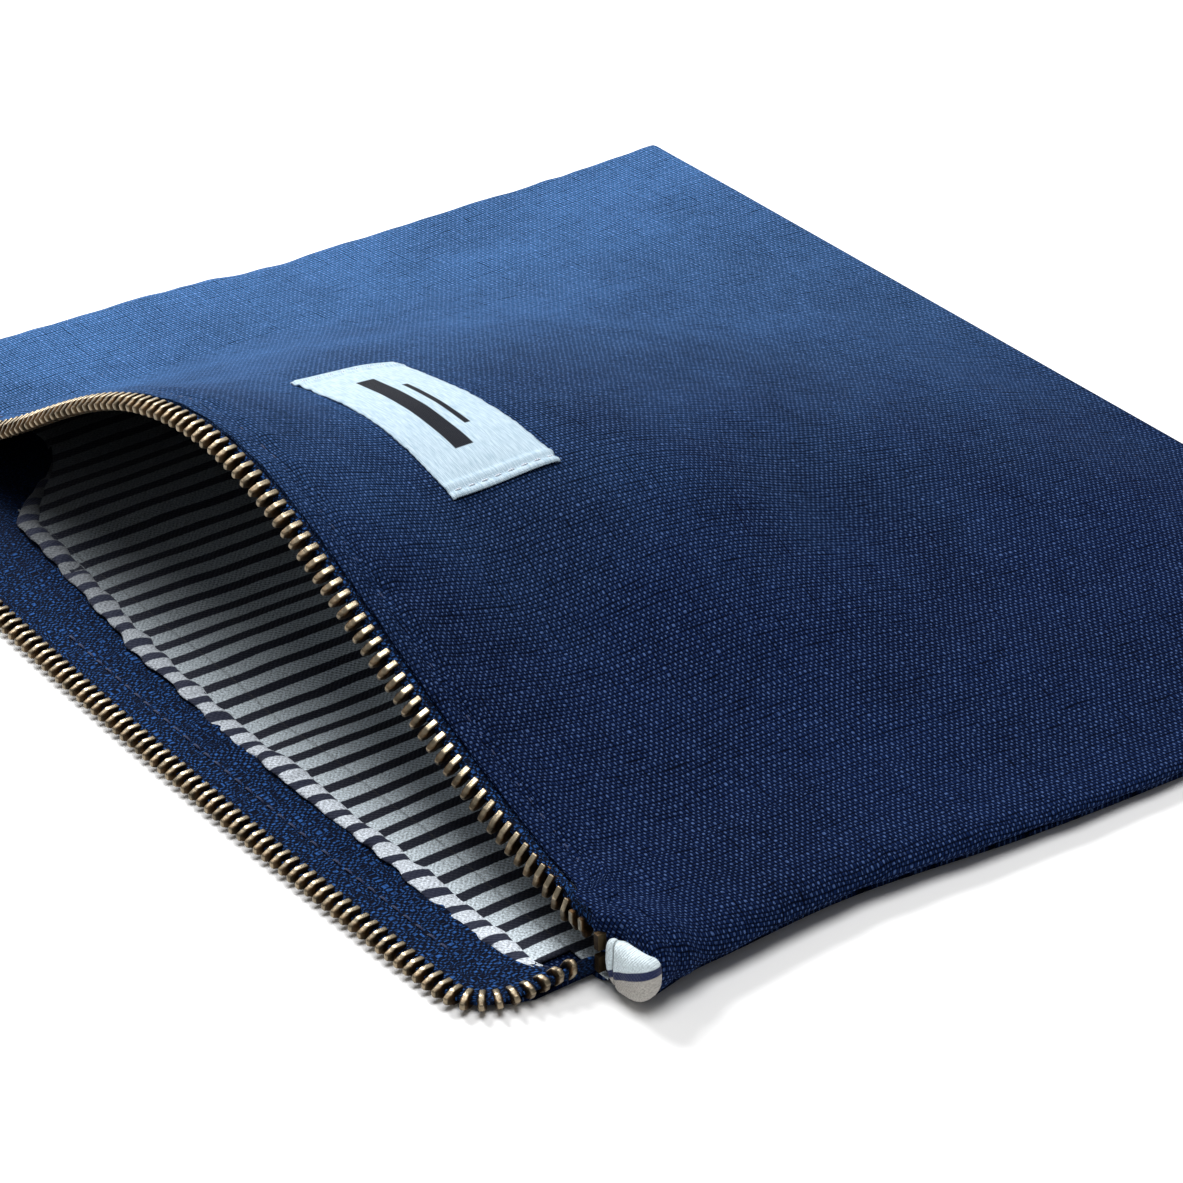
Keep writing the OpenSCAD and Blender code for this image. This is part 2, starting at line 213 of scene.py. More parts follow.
def row_frames(tangents, roll, up):
    """Along, pointing and face directions of the teeth of a row."""
    flat = unit(stacked(tangents[:, 1], -tangents[:, 0], 0))
    pointing = unit(np.cos(roll)[:, None] * flat + np.sin(roll)[:, None] * np.array([0, 0, up]))
    along = unit(tangents - np.sum(tangents * pointing, -1, keepdims=True) * pointing)
    return along, pointing, np.cross(pointing, along)


def half_w(y):
    return POUCH_W / 2 - SIDE_DRAW * (1 - smooth((y + 75) / 120))


def side_h(y):
    return mix(SIDE_H_FRONT, SIDE_H_BACK, smooth((y + 85) / 165))


def side_r(y):
    return 0.6 * side_h(y)


def foot_x(y):
    return half_w(y) - side_r(y) * (1 - math.cos(math.radians(FOOT_ANGLE)))


def lip_y(x):
    """Front edge of the upper canvas, just behind its teeth."""
    row = upper_row(x)
    roll = np.radians(90 * (1 - arch(x) ** 0.25))
    behind = LIP_GAP * np.cos(roll) + LEG_CLEAR * np.sin(roll) * np.cos(roll)
    return row[..., 1] + behind + 2.6 * smooth((np.abs(x) - 103) / 6)


def canvas_z(x, y):
    """Height of the upper canvas's outer face between its rounded sides."""
    row = upper_row(x)
    back = clamp01((y - row[..., 1]) / (Y_BACK - row[..., 1]))
    side = clamp01((half_w(y) - side_r(y) - np.abs(x)) / 40)
    lip = np.maximum(SIDE_H_FRONT, row[..., 2] + TOOTH_H / 2 + 0.3)
    loft = LOFT * smooth(side) * smooth(6 * (1 - back)) * smooth(2 * back)
    return side_h(y) + loft + (lip - SIDE_H_FRONT) * (1 - back) ** 1.1


def drawn(points):
    """The cloth's right side draws in a little, most of all just behind the mouth."""
    y = points[..., 1]
    pull = 2.0 * smooth((y - ZIP_Y) / 14) + 2.2 * hump(y + 32, 22)
    points[..., 0] -= pull * smooth((points[..., 0] - 60) / 55)
    return points


def ripple(x, y, scale, seed):
    """Smooth noise from -1 to 1 over a grid of places, with bumps about scale wide."""
    flat = zip(np.ravel(x) / scale, np.ravel(y) / scale)
    values = [noise.noise(Vector((a, b, seed))) for a, b in flat]
    return np.array(values).reshape(np.shape(x)) * 1.6


def grid_normals(points):
    across = np.gradient(points, axis=1)
    back = np.gradient(points, axis=0)
    return unit(np.cross(across, back))


def running(points, axis):
    """Running length along one axis of a grid of points."""
    steps = np.linalg.norm(np.diff(points, axis=axis), axis=-1)
    zero = np.zeros_like(np.take(steps, [0], axis))
    return np.concatenate([zero, np.cumsum(steps, axis=axis)], axis)


# ---- meshes ----
def add_object(name, data):
    made = bpy.data.objects.new(name, data)
    bpy.context.scene.collection.objects.link(made)
    return made


def pouch_piece(name, mesh, finish, replaced):
    """A new piece of the pouch with its finish, in place of CAD nodes."""
    mesh.shade_smooth()
    mesh.materials.append(finish)
    piece = add_object(name, mesh)
    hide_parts(*replaced)
    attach(piece, "pouch")
    return piece


def mesh_piece(name, vertices, faces, finish, replaced):
    """A new piece from points in millimetres."""
    mesh = bpy.data.meshes.new(name)
    mesh.from_pydata([tuple(v) for v in np.asarray(vertices) * MM], [], faces)
    return pouch_piece(name, mesh, finish, replaced)


def grid_faces(rows, cols, wrap=False):
    span = cols if wrap else cols - 1
    faces = []
    for r in range(rows - 1):
        for c in range(span):
            d = (c + 1) % cols
            faces.append((r * cols + c, r * cols + d, (r + 1) * cols + d, (r + 1) * cols + c))
    return faces


def lay_uv(piece, uv):
    """Gives the piece a map named cloth, in metres on the flat cloth, from a point's own values."""
    layer = piece.data.uv_layers.new(name="cloth")
    corners = np.empty(len(piece.data.loops), np.int32)
    piece.data.loops.foreach_get("vertex_index", corners)
    layer.data.foreach_set("uv", (np.reshape(uv, (-1, 2))[corners] * MM).ravel().astype(np.float32))


def add_thickness(piece, thickness, offset=-1):
    solid = piece.modifiers.new("thickness", "SOLIDIFY")
    solid.thickness = thickness * MM
    solid.offset = offset


def cloth_piece(name, points, uv, thickness, finish, replaced):
    """A sheet of cloth over a grid of points: rows from front to back, columns from left to right."""
    rows, cols = points.shape[:2]
    piece = mesh_piece(name, points.reshape(-1, 3), grid_faces(rows, cols), finish, replaced)
    lay_uv(piece, uv)
    add_thickness(piece, thickness)
    return piece


def cut_at_fold(points, uv):
    """A mesh of a grid of cloth with its cloth map, whose faces are cut along the fold height."""
    rows, cols = points.shape[:2]
    build = bmesh.new()
    layer = build.loops.layers.uv.new("cloth")
    flat_uv = uv.reshape(-1, 2)
    verts = [build.verts.new(p) for p in points.reshape(-1, 3)]
    for quad in grid_faces(rows, cols):
        face = build.faces.new([verts[i] for i in quad])
        for loop, i in zip(face.loops, quad):
            loop[layer].uv = flat_uv[i] * MM
    geometry = build.verts[:] + build.edges[:] + build.faces[:]
    bmesh.ops.bisect_plane(build, geom=geometry, plane_co=(0, 0, FOLD_HEIGHT), plane_no=(0, 0, 1),
                           dist=1e-4)
    return build


def canvas_part(name, cut, above):
    """The part of the cut upper canvas above or below the fold height, as a piece."""
    build = cut.copy()
    sign = 1 if above else -1
    gone = [f for f in build.faces if sign * (f.calc_center_median().z - FOLD_HEIGHT) < 0]
    bmesh.ops.delete(build, geom=gone, context="FACES")
    bmesh.ops.scale(build, vec=(MM, MM, MM), verts=build.verts)
    for edge in build.edges:
        edge.smooth = not edge.is_boundary
    mesh = bpy.data.meshes.new(name)
    build.to_mesh(mesh)
    build.free()
    piece = pouch_piece(name, mesh, canvas_look, ["upper_panel"])
    add_thickness(piece, CLOTH_T)
    return piece


# ---- pieces that get meshes of their own ----
def lower_with_zip(piece):
    """Gives the piece a mesh of its own."""
    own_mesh(piece)


def draw_in_with_zip(piece):
    """Gives the piece a mesh of its own."""
    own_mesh(piece)


def carry_with_zip(piece, centre, target):
    """Gives a piece a mesh of its own, unless its place on the closed line is within 0.05 mm of its
    centre.
    """
    move = np.asarray(target, float) - centre
    if np.linalg.norm(move) < 0.05:
        return
    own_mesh(piece)


# ---- finishes ----
class Finish:
    """A node material that is put together by short calls."""

    def __init__(self, name, **sockets):
        self.material = bpy.data.materials.new(name)
        self.material.use_nodes = True
        self.tree = self.material.node_tree
        self.shader = self.tree.nodes["Principled BSDF"]
        self.set(**sockets)

    def set(self, **sockets):
        for name, value in sockets.items():
            self.feed(self.shader.inputs[name.replace("_", " ")], value)

    def feed(self, socket, value):
        if isinstance(value, bpy.types.NodeSocket):
            self.tree.links.new(value, socket)
        else:
            socket.default_value = value

    def add(self, kind, inputs, **settings):
        node = self.tree.nodes.new("ShaderNode" + kind)
        for key, value in settings.items():
            setattr(node, key, value)
        for key, value in inputs.items():
            self.feed(node.inputs[key], value)
        return node

    def math(self, operation, a, b=0.0, clamp=False):
        return self.add("Math", {0: a, 1: b}, operation=operation, use_clamp=clamp).outputs[0]

    def times(self, a, b, clamp=False):
        return self.math("MULTIPLY", a, b, clamp)

    def plus(self, a, b):
        return self.math("ADD", a, b)

    def size(self, a):
        return self.math("ABSOLUTE", a)

    def away(self, a, middle):
        """Distance of a value from a middle one."""
        return self.size(self.math("SUBTRACT", a, middle))

    def noise(self, vector, scale, detail=2.0, roughness=0.5):
        inputs = {"Vector": vector, "Scale": scale, "Detail": detail, "Roughness": roughness}
        return self.add("TexNoise", inputs).outputs[0]

    def step(self, value, low, high, to_low=0.0, to_high=1.0):
        inputs = {"Value": value, "From Min": low, "From Max": high, "To Min": to_low, "To Max": to_high}
        return self.add("MapRange", inputs, interpolation_type="SMOOTHSTEP").outputs[0]

    def blend(self, share, a, b, how="MIX"):
        return self.add("Mix", {0: share, 6: a, 7: b}, data_type="RGBA", blend_type=how).outputs[2]

    def vector(self, x, y, z=0.0):
        return self.add("CombineXYZ", {0: x, 1: y, 2: z}).outputs[0]

    def dim(self, colour, share):
        """The colour times a share of light."""
        return self.blend(1.0, colour, self.vector(share, share, share), "MULTIPLY")

    def cloth_mm(self):
        """The cloth map in millimetres: (vector, along the width, along the depth)."""
        uv = self.add("UVMap", {}, uv_map="cloth").outputs[0]
        scaled = self.add("VectorMath", {0: uv, "Scale": 1000.0}, operation="SCALE").outputs[0]
        parts = self.add("SeparateXYZ", {0: scaled})
        return scaled, parts.outputs[0], parts.outputs[1]

    def place_mm(self):
        place = self.add("TexCoord", {}).outputs["Object"]
        return self.add("VectorMath", {0: place, "Scale": 1000.0}, operation="SCALE").outputs[0]

    def done(self, colour, height, depth_mm):
        """Sets the colour and the relief, and gives the material."""
        self.set(Base_Color=colour, Normal=self.bump(height, depth_mm))
        return self.material

    def bump(self, height, depth_mm):
        return self.add("Bump", {"Height": height, "Distance": depth_mm * MM, "Strength": 1.0}).outputs[0]


def rgb(r, g, b):
    """A colour from its 0-255 screen values."""
    def linear(c):
        c = c / 255
        return c / 12.92 if c <= 0.04045 else ((c + 0.055) / 1.055) ** 2.4
    return (linear(r), linear(g), linear(b), 1.0)


def cloth_look(name, roughness, sheen, shine, sheen_roughness=0.4, **sockets):
    """A finish for cloth or thread, where shine is its specular level."""
    return Finish(name, Roughness=roughness, Sheen_Weight=sheen, Sheen_Roughness=sheen_roughness,
                  Specular_IOR_Level=shine, **sockets)


def plain_weave(look, u, v, pitch_u, pitch_v, drift):
    """Crossing threads: a wave that is positive where one set is on top, negative where the other is."""
    slow_u = look.noise(look.vector(look.times(u, 0.9), look.times(v, 0.12)), 1.0)
    slow_v = look.noise(look.vector(look.times(u, 0.12), look.times(v, 0.9)), 1.0)
    across = look.plus(u, look.times(slow_u, drift))
    along = look.plus(v, look.times(slow_v, drift))
    wave_u = look.math("SINE", look.times(across, math.pi / pitch_u))
    wave_v = look.math("SINE", look.times(along, math.pi / pitch_v))
    return look.times(wave_u, wave_v)


def canvas_finish(name, faded_and_lit, deep_and_shaded):
    """Coarse navy canvas: paler yarn on every other crossing, paler towards its left side and darker navy
    towards its right, partly the canvas's own colour and partly painted light on the left and painted
    shade on the right; painted shade also darkens the gaps between the threads.
    """
    look = cloth_look(name, 0.95, 0.03, 0.04, Sheen_Tint=rgb(90, 130, 215))
    place, u, v = look.cloth_mm()
    wave = plain_weave(look, u, v, 0.74, 0.52, 1.0)
    worn_and_lit = look.noise(place, 0.05, 3.0)
    # Painted light and shade: a ramp from the pale, lit left side to the dark navy, shaded right side,
    # partly the canvas's own colour; noise makes its edge uneven.
    fade_and_shade_ramp = look.step(look.plus(u, look.times(worn_and_lit, 50.0)), -116.0, 98.0)
    mottle = look.step(look.noise(place, 0.022, 3.0, 0.6), 0.35, 0.65, 0.82, 1.12)
    cloth = look.dim(look.blend(fade_and_shade_ramp, faded_and_lit, deep_and_shaded), mottle)
    fibre = look.noise(place, 1.3, 3.0, 0.65)
    shade = look.step(fibre, 0.3, 0.75, 0.25, 1.3)
    dots = look.times(look.step(wave, 0.2, 0.95), shade, clamp=True)
    # Painted shade in the gaps between the threads.
    gap_shade = look.step(look.size(wave), 0.0, 0.5, 0.15, 1.0)
    base = look.dim(cloth, gap_shade)
    # The paler crossings stand out more on the painted-shade side.
    bright = look.blend(look.step(fade_and_shade_ramp, 0.0, 1.0, 0.7, 0.36), cloth, rgb(112, 144, 204))
    colour = look.blend(dots, base, bright)
    height = look.plus(look.math("POWER", look.size(wave), 0.6), look.times(fibre, 0.5))
    return look.done(colour, height, 0.16)


def lining_finish(name, dark=(14, 19, 36), light=(214, 226, 234), deep_and_shaded=0.18):
    """Striped cotton: broad pale stripes and narrower navy ones, with a fine pepper-and-salt weave,
    and painted shade that darkens the pale stripes towards the slider's end; the last argument is the
    share of light left there."""
    look = cloth_look(name, 0.8, 0.1, 0.25, 0.5)
    place, u, v = look.cloth_mm()
    wander = look.noise(look.vector(look.times(u, 0.03), look.times(v, 0.05)), 1.0)
    edge = look.noise(place, 2.2, 2.0)
    across = look.plus(look.plus(u, look.times(wander, 1.6)), look.times(edge, 0.35))
    phase = look.math("FRACT", look.times(across, 1 / STRIPE))
    middle = look.away(phase, 0.5)
    pale = look.step(middle, 0.19, 0.225)
    wave = plain_weave(look, u, v, 0.5, 0.45, 0.5)
    speck = look.noise(place, 2.6, 3.0, 0.7)
    salt = look.plus(look.step(speck, 0.32, 0.68, 0.45, 1.15), look.times(wave, 0.14))
    # Painted shade: the pale threads darken towards the slider's end, inside the pouch.
    salt = look.times(salt, look.step(u, -90.0, 60.0, deep_and_shaded, 1.0))
    thread = look.dim(rgb(*light), salt)
    colour = look.blend(pale, rgb(*dark), thread)
    return look.done(colour, look.plus(wave, speck), 0.05)


def tape_finish(name):
    """Zip tape: navy crepe with small blue flecks, and painted shade that darkens the flecks towards the
    slider's end.
    """
    look = cloth_look(name, 0.9, 0.03, 0.06, Sheen_Tint=rgb(110, 150, 220))
    place, u, v = look.cloth_mm()
    crepe = plain_weave(look, u, v, 0.52, 0.62, 2.6)
    fleck = look.noise(place, 1.6, 3.0, 0.65)
    lit = look.times(look.step(crepe, -0.1, 0.8), look.step(fleck, 0.3, 0.66), clamp=True)
    # Painted shade: the flecks darken towards the slider's end.
    yarn = look.blend(look.step(u, 5.0, 90.0), rgb(8, 18, 38), rgb(48, 94, 162))
    colour = look.blend(lit, rgb(6, 12, 28), yarn)
    return look.done(colour, look.plus(crepe, fleck), 0.14)


def brass_finish(name, worn_and_lit_from, worn_and_lit=(192, 178, 152)):
    """Antique brass: dark patina in the hollows and pale metal on what stands out, which on the teeth is
    partly abrasion and partly painted light on their flat faces, with a painted highlight on their noses.
    """
    look = Finish(name, Metallic=1.0)
    place = look.place_mm()
    stain = look.noise(place, 0.6, 3.0, 0.6)
    # Pale share: on the teeth partly abrasion and partly painted light on their flat faces, with a painted
    # highlight on the nose; elsewhere abrasion of the edges, from their shape.
    if worn_and_lit_from == "wear_and_highlight":
        rubbed_and_lit = look.add("Attribute", {}, attribute_name="wear_and_highlight").outputs["Fac"]
    else:
        pointy = look.add("NewGeometry", {}).outputs["Pointiness"]
        rubbed_and_lit = look.step(pointy, 0.5, 0.56, 0.35, 1.0)
    uneven = look.times(rubbed_and_lit, look.step(stain, 0.2, 0.7, 0.55, 1.15), clamp=True)
    patina = look.blend(look.step(stain, 0.35, 0.65), rgb(34, 26, 18), rgb(84, 62, 40))
    colour = look.blend(uneven, patina, rgb(*worn_and_lit))
    roughness = look.step(uneven, 0.0, 1.0, 0.55, 0.34)
    scratch = look.noise(place, 4.0, 3.0, 0.7)
    look.set(Roughness=roughness)
    return look.done(colour, scratch, 0.03)


def steel_finish(name):
    """Spring steel with fine rolling lines."""
    look = Finish(name, Metallic=1.0)
    parts = look.add("SeparateXYZ", {0: look.place_mm()})
    drawn_out = look.vector(look.times(parts.outputs[0], 0.3), parts.outputs[1],
                            look.times(parts.outputs[2], 6.0))
    lines = look.noise(drawn_out, 1.0)
    look.set(Roughness=look.step(lines, 0.3, 0.7, 0.25, 0.42))
    return look.done(look.blend(lines, rgb(120, 122, 128), rgb(190, 192, 198)), lines, 0.01)


def label_finish(name):
    """White woven satin label, with two plain dark bars woven along it."""
    look = cloth_look(name, 0.6, 0.02, 0.12)
    _, u, v = look.cloth_mm()
    wave = plain_weave(look, u, v, 0.22, 0.3, 0.2)
    thread = look.noise(look.vector(look.times(u, 0.4), look.times(v, 4.0)), 1.0, 2.0)
    colour = look.blend(look.step(thread, 0.3, 0.7), rgb(160, 184, 200), rgb(194, 212, 224))
    for middle, width, length in ((-1.8, 1.9, 15.0), (2.6, 0.7, 9.5)):
        inside_v = look.step(look.away(v, middle), width, width - 0.25)
        inside_u = look.step(look.size(u), length, length - 0.3)
        bar = look.times(inside_u, inside_v, clamp=True)
        colour = look.blend(bar, colour, rgb(16, 20, 30))
    return look.done(colour, look.plus(look.size(wave), thread), 0.05)


def thread_finish(name, dark, light):
    """Twisted sewing thread."""
    look = cloth_look(name, 0.6, 0.2, 0.3)
    twist = look.add("TexWave", {"Vector": look.place_mm(), "Scale": 1.6, "Distortion": 1.0},
                     bands_direction="DIAGONAL").outputs[1]
    return look.done(look.blend(twist, dark, light), twist, 0.05)


# The first colour is the pale, lit end and the second the dark, shaded end of the painted light and shade,
# partly the canvas's own colour.
canvas_look = canvas_finish("canvas_look", rgb(66, 106, 156), rgb(9, 25, 60))
# The last value of lining_finish is the share of light left in the painted shade at the slider's end; the
# hem gets darker painted shade.
lining_look = lining_finish("lining_look")
hem_look = lining_finish("hem_look", (24, 30, 52), (220, 228, 238), 0.08)
tape_look = tape_finish("tape_look")
tooth_look = brass_finish("tooth_look", "wear_and_highlight")
brass_look = brass_finish("brass_look", "shape")
dull_brass_look = brass_finish("dull_brass_look", "shape", (104, 86, 62))
steel_look = steel_finish("steel_look")
label_look = label_finish("label_look")
navy_thread_look = thread_finish("navy_thread_look", rgb(12, 20, 44), rgb(40, 58, 104))
white_thread_look = thread_finish("white_thread_look", rgb(170, 180, 195), rgb(236, 240, 246))


# ---- threads ----
def stitch_points(start, end, lift, radius, rings=7, sides=8):
    """One stitch: a short thread that comes up out of the cloth and goes back into it."""
    s = np.linspace(0, 1, rings)
    spine = mix(start, end, s[:, None]) + np.outer(radius * (np.sin(math.pi * s) ** 0.5 * 1.6 - 1.2), lift)
    along = unit(end - start)
    side = unit(np.cross(lift, along))
    up = np.cross(along, side)
    swell = radius * (0.45 + 0.55 * np.sin(math.pi * s) ** 0.4)
    turn = np.linspace(0, 2 * math.pi, sides, endpoint=False)
    ring = np.cos(turn)[:, None] * side + np.sin(turn)[:, None] * up
    return spine[:, None] + swell[:, None, None] * ring[None]


def stitch_row(name, spots, radius, finish, replaced):
    """Many stitches as one piece; spots are (start, end, outward direction)."""
    vertices, faces = [], []
    for start, end, lift in spots:
        points = stitch_points(np.array(start), np.array(end), np.array(lift), radius)
        rings, sides = points.shape[:2]
        base = len(vertices)
        vertices += list(points.reshape(-1, 3))
        faces += [tuple(base + i for i in f) for f in grid_faces(rings, sides, wrap=True)]
        faces.append(tuple(base + i for i in reversed(range(sides))))
        faces.append(tuple(base + (rings - 1) * sides + i for i in range(sides)))
    return mesh_piece(name, vertices, faces, finish, replaced)


def surface_of(points):
    """A function that gives the place and outward direction of a grid's surface above (x, y)."""
    rows, cols = points.shape[:2]
    tree = BVHTree.FromPolygons([tuple(p) for p in points.reshape(-1, 3)], grid_faces(rows, cols))

    def drop(x, y):
        place, normal, _, _ = tree.ray_cast(Vector((x, y, 100)), Vector((0, 0, -1)))
        if place is None:
            place, normal, _, _ = tree.find_nearest(Vector((x, y, 0)))
        return np.array(place), np.array(normal if normal.z > 0 else -normal)
    return drop


def heights_on(drop, xs, ys):
    """Heights of a dropped surface over grids of places."""
    flat = [drop(x, y)[0][2] for x, y in zip(np.ravel(xs), np.ravel(ys))]
    return np.array(flat).reshape(np.shape(xs))


def spots_along(drop, xs, ys, pitch_share):
    """Stitches over a dropped line of places, each covering a share of the way to the next."""
    spots = []
    for x0, y0, x1, y1 in zip(xs[:-1], ys[:-1], xs[1:], ys[1:]):
        start, normal = drop(x0, y0)
        end, _ = drop(mix(x0, x1, pitch_share), mix(y0, y1, pitch_share))
        spots.append((start, end, normal))
    return spots


# ---- upper canvas ----
TOP_COLS = 190
SIDE_COLS = 12
HEM_ROWS = 10
BACK_ROWS = 7


def upper_canvas_section(v):
    """One row of the canvas from its left foot over the top to its right foot, as points."""
    y0 = mix(ZIP_Y + 2.6, Y_BACK, v)
    r = side_r(y0)
    h = side_h(y0)
    w = half_w(y0)
    turn = np.radians(np.linspace(FOOT_ANGLE, 90, SIDE_COLS + 1))
    arc_x = w - r + r * np.cos(turn)
    arc_z = mix(SEAM_LEVEL, h, 0.5 + 0.5 * np.sin(turn))
    arc = stacked(arc_x, y0, arc_z)
    x = np.linspace(-(w - r), w - r, TOP_COLS + 1)[1:-1]
    y = mix(lip_y(x), Y_BACK, v)
    top = stacked(x, y, canvas_z(x, y))
    return np.vstack([arc * [-1, 1, 1], top, arc[::-1]])


def canvas_rows():
    """Shares of the depth from lip to bottom seam: close together at the lip and the topstitch."""
    near = np.arange(0, 9, 0.45)
    far = np.arange(9, 174, 1.7)
    return np.append(np.concatenate([near, far]) / 174.5, 1.0)


def upper_canvas_points():
    shares = canvas_rows()
    body = np.array([upper_canvas_section(v) for v in shares])
    normals = grid_normals(body)
    x, y = body[..., 0], body[..., 1]
    behind = running(body, 0)
    to_side = half_w(y) - np.abs(x)
    middle = smooth((to_side - 4) / 25) * smooth((Y_BACK - y) / 25) * smooth(behind / 30)
    in_and_out = 0.8 + 0.2 * np.cos(2 * math.pi * x / STITCH_PITCH)
    groove = -0.5 * hump(behind - STITCH_BACK, 0.75) * in_and_out
    strip = 0.2 * hump(behind - 1.8, 1.2)
    ridge = 0.4 * hump(behind - 6.6, 2.2) * (1 + 0.6 * ripple(x, y, 8, 1.5))
    pucker = 0.32 * ripple(x, behind * 0.25, 4.5, 7.5) * np.exp(-np.abs(behind - 6) / 9)
    swell = middle * (ripple(x, y, 58, 3.5) + 0.35 * ripple(x, y, 21, 4.5))
    for mid_x, mid_y, reach_x, reach_y, rise in (BULGE, DIP):
        swell = swell + rise * np.exp(-(((x - mid_x) / reach_x) ** 2) - ((y - mid_y) / reach_y) ** 2)
    seam = 0.35 * ripple(x * 0.2, y, 6, 9.5) * np.exp(-to_side / 5) * smooth((to_side + 1) / 2)
    body = body + normals * (groove + strip + ridge + pucker + swell + seam)[..., None]
    held_up = smooth((-x - 60) / 35) * smooth((20 - y) / 40)
    fall = SIDE_FALL * (1 - smooth((to_side + 2) / 34)) * smooth(behind / 14) * (1 - held_up)
    body[..., 2] = mix(body[..., 2], SEAM_LEVEL, fall * smooth((body[..., 2] - CANVAS_T) / 6))
    return drawn(np.vstack([lip_hem(body), body, back_fold(body[-1])]))


def lip_hem(body):
    """Rows in front of the lip: canvas turned under, or a closed front wall beyond the zip's ends."""
    lip = body[0]
    back = unit(body[3] - body[0])
    up = unit(np.cross(np.gradient(lip, axis=0), back))
    turn = np.linspace(math.pi, 0, HEM_ROWS - 4)[:-1]
    flat = np.linspace(HEM_DEPTH, FOLD_R, 5)[:-1]
    depth = np.concatenate([flat, FOLD_R - FOLD_R * np.sin(turn)])
    drop = np.concatenate([np.full(len(flat), -2 * FOLD_R), -FOLD_R * (1 - np.cos(turn))])
    share = np.linspace(0, 1, len(depth), endpoint=False)
    wall_share = smooth((np.abs(lip[:, 0]) - 101.5) / 4)[:, None]
    rows = []
    for d, n, w in zip(depth, drop, share):
        hem = lip + d * back + n * up
        wall = lip + [0, -1.3 * math.sin(math.pi * w), 0]
        rise = math.sin(w * math.pi / 2)
        wall[:, 0] = mix(np.clip(lip[:, 0], lip[0, 0], lip[-1, 0]), lip[:, 0], rise)
        wall[:, 2] = mix(SEAM_LEVEL, lip[:, 2], rise)
        rows.append(mix(hem, wall, wall_share))
    return np.array(rows)


def back_fold(last):
    """Rows that turn the canvas down to the bottom seam."""
    rows = []
    for turn in np.radians(np.linspace(90, -50, BACK_ROWS + 1))[1:]:
        row = last.copy()
        row[:, 1] += 1.1 * math.cos(turn)
        row[:, 2] = mix(SEAM_LEVEL, last[:, 2], 0.5 + 0.5 * math.sin(turn))
        rows.append(row)
    return np.array(rows)


def cloth_uv(points):
    """Flat places of a grid of cloth: runs along rows from the middle and along columns from the back."""
    across = running(points, 1)
    across = across - across[:, [across.shape[1] // 2]]
    down = running(points, 0)
    return stacked(across, down - down[-1:])


canvas_points = upper_canvas_points()
cut = cut_at_fold(canvas_points, cloth_uv(canvas_points))
arch_canvas = canvas_part("upper_canvas_arch", cut, True)
skirt_canvas = canvas_part("upper_canvas_skirt", cut, False)
cut.free()
lower_with_zip(arch_canvas)
canvas_drop = surface_of(canvas_points[HEM_ROWS - 1:])

topstitch_x = np.arange(-96, 97, STITCH_PITCH)
topstitch_spots = spots_along(canvas_drop, topstitch_x, lip_y(topstitch_x) + STITCH_BACK, STITCH_SHARE)
topstitch = stitch_row("upper_topstitch_thread", topstitch_spots, TOPSTITCH_R, navy_thread_look,
                       ["upper_topstitch"])
lower_with_zip(topstitch)


# ---- lower canvas ----
fine_lower = lower_path(300, 44)
fine_upper = upper_path(340)


def lower_line_y(x):
    """Where the lower row of teeth runs at x."""
    return np.interp(x, fine_lower[:, 0], fine_lower[:, 1])


def flat_cloth(name, xs, front, back, rows, height, thickness, finish, replaced):
    """A cloth that lies flat between a front and a back line, each given over xs."""
    share = np.linspace(0, 1, rows)[:, None]
    x = xs(share) if callable(xs) else np.broadcast_to(xs, (rows, len(xs)))
    y = mix(front, back, share)
    points = drawn(stacked(x, y, height(x, y)))
    return cloth_piece(name, points, points[..., :2], thickness, finish, replaced)


def lower_canvas_z(x, y):
    return 0.86 + 0.04 * ripple(x, y, 9, 2.5)


front_x = np.linspace(-84, 102.5, 180)
lower_front = flat_cloth("lower_canvas_front", front_x, lower_line_y(front_x) + LIP_GAP, ZIP_Y, 16,
                         lower_canvas_z, PANEL_CLOTH_T, canvas_look, ["lower_panel"])
draw_in_with_zip(lower_front)
back_shares = np.linspace(-1, 1, 161)


def back_panel_x(share):
    return back_shares * foot_x(mix(ZIP_Y, Y_BACK, share))


back_front_y = ZIP_Y + 4.4 * smooth((np.abs(back_shares * foot_x(ZIP_Y)) - 103.5) / 7)
lower_back = flat_cloth("lower_canvas_back", back_panel_x, back_front_y, Y_BACK, 110,
                        lower_canvas_z, PANEL_CLOTH_T, canvas_look, ["lower_panel"])


# ---- lining ----
def tape_extra(x):
    """How much further back the tape shows at x."""
    return TAPE_EXTRA * smooth((-x - 5) / 50)


def lining_edge_y(x):
    """Front edge of the lower lining, where its hem is sewn over the tape."""
    return lower_line_y(x) + TAPE_W - 0.6 + tape_extra(x)


def lower_lining_z(x, y):
    """The lining lies on the lower canvas in soft waves that run from front to back."""
    room = np.maximum(canvas_z(x, np.maximum(y, ZIP_Y + 3)) - 4, 0)
    wave = 0.5 + 0.5 * ripple(x, y * 0.22, 13, 5.5)
    return CANVAS_T + 0.45 + np.minimum(1.5, 0.09 * room) * clamp01(wave) + 0.03 * ripple(x, y, 3, 6.5)


lining_front_x = np.linspace(-70, 97, 200)
lining_front = flat_cloth("lower_lining_front", lining_front_x,
                          np.minimum(lining_edge_y(lining_front_x), ZIP_Y - 0.2), ZIP_Y, 14,
                          lower_lining_z, LINING_CLOTH_T, lining_look, ["lower_lining"])
draw_in_with_zip(lining_front)
LINING_MARGIN = 3       # from the lining's sides to the canvas's seams
LINING_BACK_Y = Y_BACK - 4
lining_shares = np.linspace(-1, 1, 221)


def lining_panel_x(share):
    return lining_shares * (foot_x(mix(ZIP_Y, LINING_BACK_Y, share)) - LINING_MARGIN)


panel_front_x = lining_panel_x(0.0)
panel_front_y = np.maximum(ZIP_Y, np.where(panel_front_x < 0, lining_edge_y(panel_front_x), ZIP_Y))
lining_back = flat_cloth("lower_lining_back", lining_panel_x, panel_front_y, LINING_BACK_Y, 120,
                         lower_lining_z, LINING_CLOTH_T, lining_look, ["lower_lining"])


